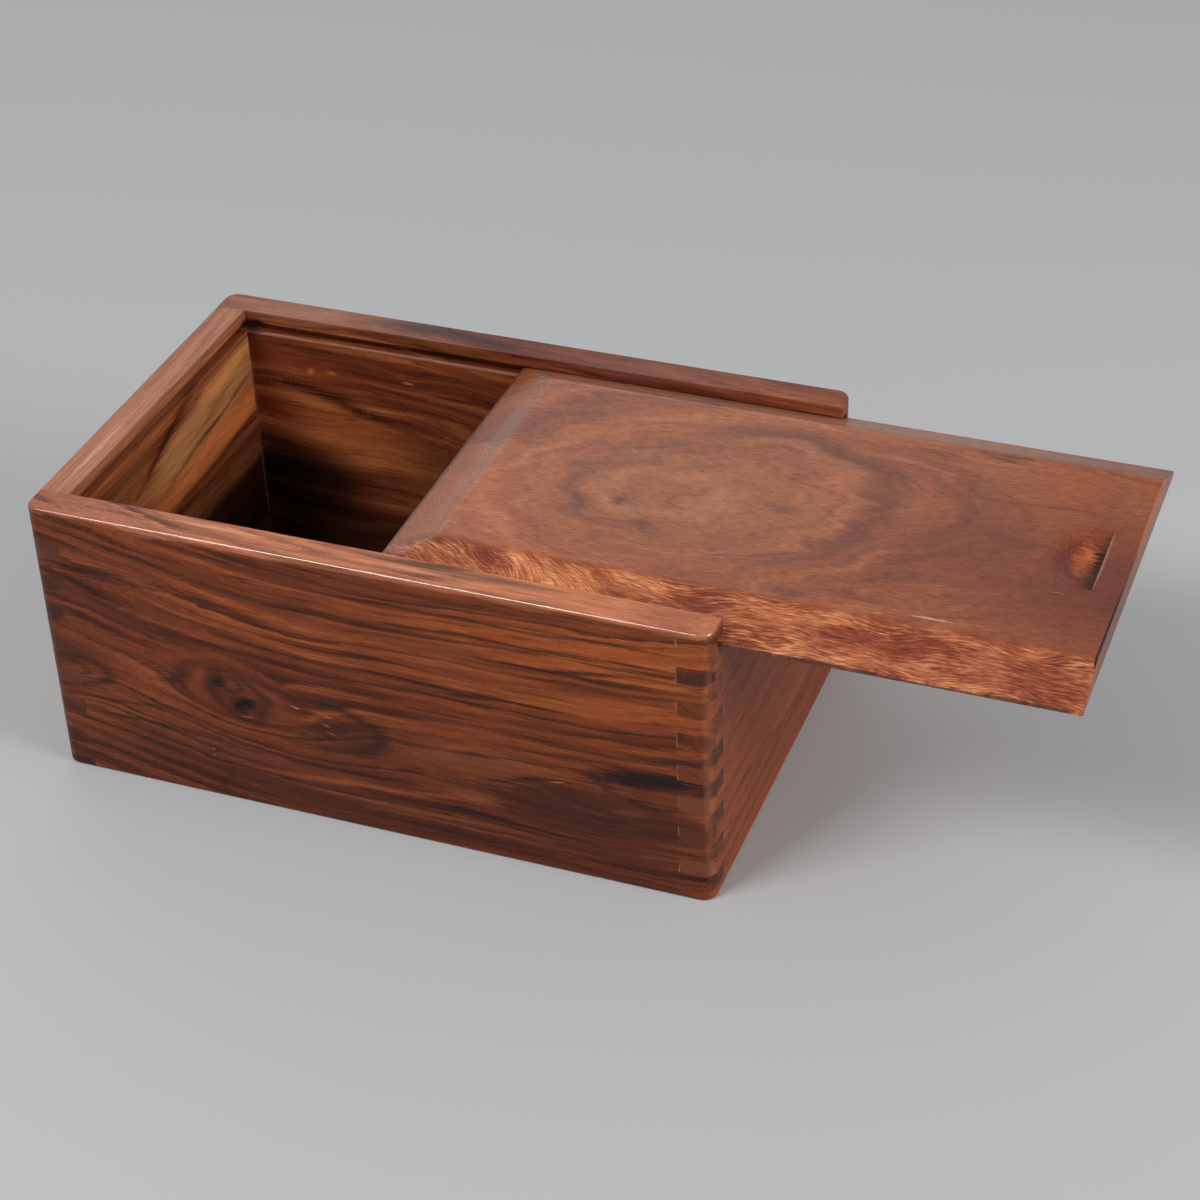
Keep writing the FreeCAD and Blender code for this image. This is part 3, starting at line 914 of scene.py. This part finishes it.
    def _left_end(self) -> Rosewood:
        """Closed end board: olive and orange sapwood shows on its inner face.

        Returns:
            The board's finish.
        """
        face = Face(self.thickness, self.skin)
        return Rosewood(
            "rosewood_left_end_board",
            Lie.SHORT_SIDE,
            dark="#381910",
            middle="#904a2c",
            light="#c07846",
            seed=7.0,
            band=3.6,
            contrast=0.55,
            line_depth=0.3,
            tear=1.0,
            fibre_depth=0.5,
            end="#4c251a",
            end_share=0.65,
            # painted light: the rim made lighter where it faces up to the lamps
            tints=(Mark((72, 100, 5), (90, 3.5, 20), "#af745a", 0.7, core=0.6),),  # the rim
            marks=(
                Mark((0, 6, 5), (5, 14, 14), "#10090c", 0.9, core=0.3),
                *self._fingers(
                    {
                        0: ("#7a4836", 0.6),
                        1: ("#2c140e", 0.8),
                        2: ("#1a0b08", 0.85),
                        3: ("#4e2620", 0.6),
                        4: ("#8a4c32", 0.4),
                        5: ("#44201a", 0.5),
                    }
                ),
                # sapwood, with dark lines in it
                face.mark((97, 77), (52, 12), "#c08452", 0.8, turn=8, core=0.45),
                face.mark((118, 85.5), (30, 4.5), "#dc9258", 0.85, turn=3, core=0.3),
                face.mark((104, 64.5), (74, 8), "#da7e44", 0.8, turn=3, core=0.3),
                face.mark((100, 71.5), (48, 1.7), "#3e1c10", 0.75, turn=8),
                face.mark((108, 58.5), (60, 1.4), "#4e2412", 0.7, turn=2),
                face.mark((70, 84), (38, 3.4), "#3c1c11", 0.9, turn=20),
                face.mark((105, 77), (26, 1.6), "#8a5a34", 0.7, turn=12),
                face.mark((45, 84), (24, 9), "#7c4e2c", 0.7, turn=12),
                # painted shade: the foot of the inner face darker, near black lowest down
                face.mark((100, 50), (90, 5), "#4a2212", 0.6),
                face.mark((100, 30), (120, 20), "#160a08", 0.9, core=0.5),
                # the lid groove: a painted highlight on its ledge, and painted shade at its dark end
                exact_mark((72, 94.2, 7.5), (120, 2.4, 5), "#9a8070", 0.85, core=0.6, tear=0.2),
                exact_mark((131, 95, 8), (4.5, 4, 6), "#0c0605", 0.95, core=0.4),
                # the rim
                Mark((95, 100, 3.5), (30, 3.5, 1.6), "#8a5644", 0.6, tear=1.2),
                Mark((35, 100, 6), (30, 3.5, 1.6), "#e0a888", 0.5, tear=1.2),
                Mark((2, 100, 5), (12, 3.5, 20), "#4a2a28", 0.6),
            ),
        )

    def _right_end(self) -> Rosewood:
        """Open end board: plain fine grain.

        Returns:
            The board's finish.
        """
        first_finger = self.first_slot - self.finger_height
        return Rosewood(
            "rosewood_right_end_board",
            Lie.SHORT_SIDE,
            dark="#482117",
            middle="#8c4220",
            light="#a2562a",
            seed=5.0,
            band=4.0,
            contrast=0.4,
            line_depth=0.2,
            wave=1.0,
            fibre=(9.0, 0.5, 0.5),
            fibre_depth=0.5,
            end="#5a3020",
            # painted shade under the lid darkens the top, partly the grain's own darker tone
            tints=(Mark((50, 88, 0), (90, 34, 20), "#5a2a1c", 0.3),),
            marks=(
                *self._fingers(
                    {
                        0: ("#1e0c08", 0.85),
                        2: ("#1e0c08", 0.85),
                        4: ("#94604a", 0.5),
                        5: ("#2c140e", 0.6),
                        6: ("#94604a", 0.5),
                    }
                ),
                # painted highlight down the rounded corner
                exact_mark((1.4, 52, 9.3), (2.4, 60, 2.4), "#b07a5c", 0.28, core=0.3),
                Joint(self.thickness + Joint.width, first_finger, self.finger_pitch, self.finger_height),
            ),
        )

    def _bottom(self) -> Rosewood:
        """Bottom panel: plain, and darker than the boards.

        Returns:
            The panel's finish.
        """
        return Rosewood(
            "rosewood_bottom_panel",
            Lie.LEVEL,
            dark="#24120c",
            middle="#3a2016",
            light="#52301e",
            seed=9.0,
            band=5.0,
            contrast=0.4,
            line_depth=0.3,
        )


@dataclass
class Lid:
    """The sliding lid, one flat-sawn board with a closed oval figure on its field.

    A mark's place is given along and across it, from the front corner of its closed end.
    """

    bevel: float = 16.5
    through: float = 40.0  # a mark this deep goes right through the lid

    @property
    def field(self) -> Face:
        """The raised field."""
        return Face(board_size("lid_panel")[2], self.through)

    def build(self) -> None:
        """Dresses the lid."""
        dress("lid_panel", self._finish())

    def _finish(self) -> Rosewood:
        """Paler and finer wood than the boards', polished a little more.

        Returns:
            The lid's finish.
        """
        return Rosewood(
            "rosewood_lid",
            Lie.LEVEL,
            dark="#4e2119",
            middle="#9d532f",
            light="#c07643",
            seed=2.0,
            band=4.5,
            band_length=110.0,
            contrast=0.36,
            line_pitch=6.0,
            line_depth=0.2,
            wave=3.0,
            tear=1.0,
            chatter=0.2,
            drift=(10.0, 5.0, 0.0),
            burnish=0.1,
            fibres=Follow.BOARD,
            fibre=(4.0, 0.4, 0.4),
            fibre_depth=0.8,
            end="#6a3822",
            roughness=0.36,
            sheen=0.34,
            polish=0.1,
            bends=(Oval((90, 61, self.field.level), (66, 46, 90), turn=8, rings=34),),
            marks=(*self._figure(), *self._notch(), *self._bevels()),
        )

    def _figure(self) -> tuple[Mark, ...]:
        """Rings and spots of the field.

        Returns:
            The marks, in the order in which they are laid.
        """
        face = self.field
        top = face.level
        return (
            # the oval's heart and its rings
            face.mark((88, 62), (50, 34), "#8a5c38", 0.3, turn=6, core=0.5),
            face.mark((95, 66), (46, 36), "#55291f", 0.58, turn=10, ring=0.24, side=(1, 0.3)),
            face.mark((92, 66), (40, 31), "#bd7c54", 0.25, turn=10, ring=0.14, side=(1, 0.4)),
            face.mark((90, 62), (44, 30), "#55291f", 0.35, turn=12, ring=0.18, side=(-1, 0.6)),
            face.mark((71, 57), (26, 19), "#5a2e22", 0.4, turn=10, ring=0.24, side=(-1, -0.3)),
            face.mark((74, 59), (17, 12), "#b87a54", 0.3, turn=10, ring=0.4),
            # dark spots round it
            face.mark((51, 48), (5.5, 8), "#55291f", 0.55, turn=20, tear=1.6),
            exact_mark((62.5, 52, top), (3.4, 5.8, 40), "#42201a", 0.65, turn=-6, tear=1.6),
            exact_mark((73.5, 43, top), (5.2, 4.6, 40), "#42201a", 0.65, tear=1.6),
            face.mark((112, 63), (7, 3), "#4c2a22", 0.6, tear=1.4),
            face.mark((22, 73), (6, 3.4), "#4c2a22", 0.5, tear=1.4),
            face.mark((34, 96), (10, 2.6), "#5a3024", 0.4, turn=-16, tear=1.4),
            face.mark((125, 19), (9, 2.6), "#4c2820", 0.5),
            face.mark((146, 25), (12, 3), "#55291f", 0.45, turn=14),
            # streaks towards the open end, which is darker and redder
            face.mark((164, 111), (17, 2.4), "#32160f", 0.8, tear=1.4),
            face.mark((168, 100), (34, 8), "#b06c44", 0.3, turn=-6),
            face.mark((190, 87), (36, 1), "#3c1a12", 0.55, turn=3),
            face.mark((186, 69), (20, 3.6), "#5a3024", 0.5),
            face.mark((205, 108), (22, 3), "#a85c34", 0.35),
            face.mark((220, 50), (110, 72), "#672c1d", 0.9),
        )

    def _notch(self) -> tuple[Mark, ...]:
        """Tones of the thumb notch, with painted shade and highlights, a painted sheen in its dish, and
        the small flecks near it.

        Returns:
            The marks, in the order in which they are laid.
        """
        face = self.field
        _, width, top = board_size("lid_panel")
        middle = width / 2
        return (
            # the dish, a bright orange patch in it with a painted highlight at its heart, painted shade
            # along its upright wall, and a painted highlight on that wall's arris
            exact_mark((200, middle, top - 3), (12, 19, 2.9), "#6c3022", 0.9, core=0.5),
            exact_mark((203.5, middle + 4, top - 4), (6, 13, 3.6), "#b85a30", 0.95, core=0.2, tear=4),
            exact_mark((204, middle + 6, top - 4), (3, 3, 3.6), "#e08850", 0.7, tear=2),
            exact_mark((208.6, middle, top - 4.2), (4.6, 20, 4), "#200b07", 0.92, core=0.35, tear=14),
            exact_mark((209, middle, top), (0.7, 17.5, 1.2), "#a87660", 0.5, core=0.6, tear=1),
            # a painted grey sheen at the front of the dish, and flecks
            Mark((197.5, 56, top - 1.5), (5, 6, 2), "#806058", 0.6, turn=40, tear=1),
            face.mark((200.7, 46.8), (4.6, 0.35), "#c89880", 0.6, tear=0.2),
            Mark((216.8, 43, top), (1.8, 0.5, 3), "#e0b8a0", 0.8, tear=0.2),
            face.mark((150, 19.5), (3.6, 0.5), "#d8ac84", 0.75, tear=0.6),
            face.mark((168, 20.5), (11, 0.9), "#d8ac84", 0.75, tear=1.2),
        )

    def _bevels(self) -> tuple[Mark | Curl, ...]:
        """Painted reflection on the bevels, curly figure with partly painted highlight on the front one,
        and the lid's arrises, with painted shade on the front one and a painted highlight on the open
        end's.

        Returns:
            The marks, in the order in which they are laid.
        """
        face = self.field
        top = face.level
        return (
            # a weak painted reflection, pale grey, on the back and leading bevels, and the leading edge
            exact_mark((110, 122, 5), (130, 8, 8), "#967a6a", 0.4, core=0.6, tear=0.6),
            exact_mark((12.5, 68, top - 1.5), (6, 58, 3), "#968880", 0.25, core=0.4, tear=1.5),
            exact_mark((4, 66, 5), (4.5, 90, 8), "#8a4434", 0.4),
            # the curly figure and its tints, the bright ones partly painted highlight
            Curl(0.9, self.bevel - 0.5),
            face.mark((28, 9), (28, 9), "#8a4026", 0.4),
            face.mark((68, 8), (40, 9), "#d88450", 0.35),
            face.mark((105, 10), (12, 9), "#7a3c30", 0.45),
            face.mark((120, 9), (9, 6), "#e0864e", 0.5, turn=20),
            face.mark((207, 6), (30, 9), "#7e3a22", 0.4),
            face.mark((165, 8), (75, 12), "#8a3c2a", 0.45, core=0.3),
            # arrises: the open end's, dark in front and with a painted highlight behind, the front one in
            # painted shade, and the leading one
            exact_mark((217.6, 16, top), (0.9, 47, 1.6), "#1c0d0a", 0.95, core=0.8, tear=2),
            exact_mark((217.6, 96, top), (0.9, 34, 1.6), "#c87a4a", 0.6, core=0.6, tear=2),
            exact_mark((110, 0, 0), (160, 0.8, 2.4), "#4a2014", 0.7, core=0.5),
            exact_mark((0, 65, 4), (2.2, 90, 9), "#4a281c", 0.85, core=0.5, tear=2),
        )


def dress(node: str, finish: Rosewood) -> None:
    """Gives a board its finish.

    Args:
        node: the board's name in the frame.
        finish: the wood that it is made of.
    """
    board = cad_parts[node]
    low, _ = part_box(node)
    material = finish.make(low)
    board.data.materials.clear()
    board.data.materials.append(material)
    for face in board.data.polygons:
        face.material_index = 0
    LOG.info("%s is %s", node, finish.name)


@dataclass
class Studio:
    """Pale floor, soft lamps and the camera."""

    camera_place: Triple = (0.26759, -0.68023, 0.56625)
    camera_aim: Triple = (-0.0106, 0.0194, 0.0373)
    camera_roll: float = -2.14  # degrees
    lens: float = 83.8
    film: float = 36.0
    lamp_aim: Triple = (0.0, 0.0, 0.06)
    floor_radius: float = 6.0
    floor_colour: str = "#bcbdbe"
    sky: float = 0.34

    def build(self) -> None:
        """Builds the floor, the lamps, the world and the camera."""
        self._floor()
        self._lamp("key", (-0.60, -0.88, 1.20), (0.6, 0.4), 12.2)
        self._lamp("side", (1.45, -0.25, 0.80), (0.7, 0.7), 14.0)
        self._lamp("window", (-0.95, 1.40, 0.80), (1.6, 1.0), 4.5)
        self._world()
        self._camera()
        LOG.info("studio is ready")

    def _floor(self) -> None:
        """A wide disc of matt pale paint."""
        shape = bmesh.new()
        bmesh.ops.create_circle(shape, cap_ends=True, segments=64, radius=self.floor_radius)
        mesh = bpy.data.meshes.new("floor")
        shape.to_mesh(mesh)
        shape.free()
        floor = bpy.data.objects.new("floor", mesh)
        bpy.context.scene.collection.objects.link(floor)
        paint = bpy.data.materials.new("matt_pale_paint")
        paint.use_nodes = True
        paint.node_tree.nodes.clear()
        inputs = {"Base Color": linear(self.floor_colour), "Roughness": 0.9}
        shader = add_node("BsdfPrincipled", inputs, tree=paint.node_tree)
        add_node("OutputMaterial", {"Surface": shader})
        mesh.materials.append(paint)

    def _lamp(self, name: str, place: Triple, size: Pair, power: float) -> None:
        """Adds a soft rectangular lamp that points at the box.

        Args:
            name: the lamp's name.
            place: where it stands, in metres.
            size: its width and height, in metres.
            power: in watts.
        """
        data = bpy.data.lights.new(name, "AREA")
        data.shape = "RECTANGLE"
        data.size, data.size_y = size
        data.energy = power
        lamp = bpy.data.objects.new(name, data)
        lamp.visible_camera = False
        bpy.context.scene.collection.objects.link(lamp)
        aim = Vector(self.lamp_aim) - Vector(place)
        lamp.matrix_world = Matrix.Translation(place) @ aim.to_track_quat("-Z", "Y").to_matrix().to_4x4()

    def _world(self) -> None:
        """Even pale surroundings."""
        world = bpy.data.worlds.new("surroundings")
        bpy.context.scene.world = world
        world.use_nodes = True
        world.node_tree.nodes.clear()
        back = add_node("Background", {"Color": grey(1.0), "Strength": self.sky}, tree=world.node_tree)
        add_node("OutputWorld", {"Surface": back})

    def _camera(self) -> None:
        """The camera, a little rolled."""
        data = bpy.data.cameras.new("camera")
        data.lens = self.lens
        data.sensor_width = self.film
        data.clip_end = 50.0
        camera = bpy.data.objects.new("camera", data)
        bpy.context.scene.collection.objects.link(camera)
        back = (Vector(self.camera_place) - Vector(self.camera_aim)).normalized()
        right = Vector((0.0, 0.0, 1.0)).cross(back).normalized()
        up = back.cross(right)
        roll = math.radians(self.camera_roll)
        rolled_right = math.cos(roll) * right + math.sin(roll) * up
        rolled_up = math.cos(roll) * up - math.sin(roll) * right
        turn = Matrix((rolled_right, rolled_up, back)).transposed().to_4x4()
        camera.matrix_world = Matrix.Translation(self.camera_place) @ turn
        bpy.context.scene.camera = camera


def main() -> None:
    """Builds everything in order."""
    logging.basicConfig(level=logging.INFO, format="%(name)s: %(message)s")
    bpy.context.scene.view_settings.view_transform = "Standard"
    Carcase().build()
    Lid().build()
    Studio().build()


if __name__ == "__main__":
    main()
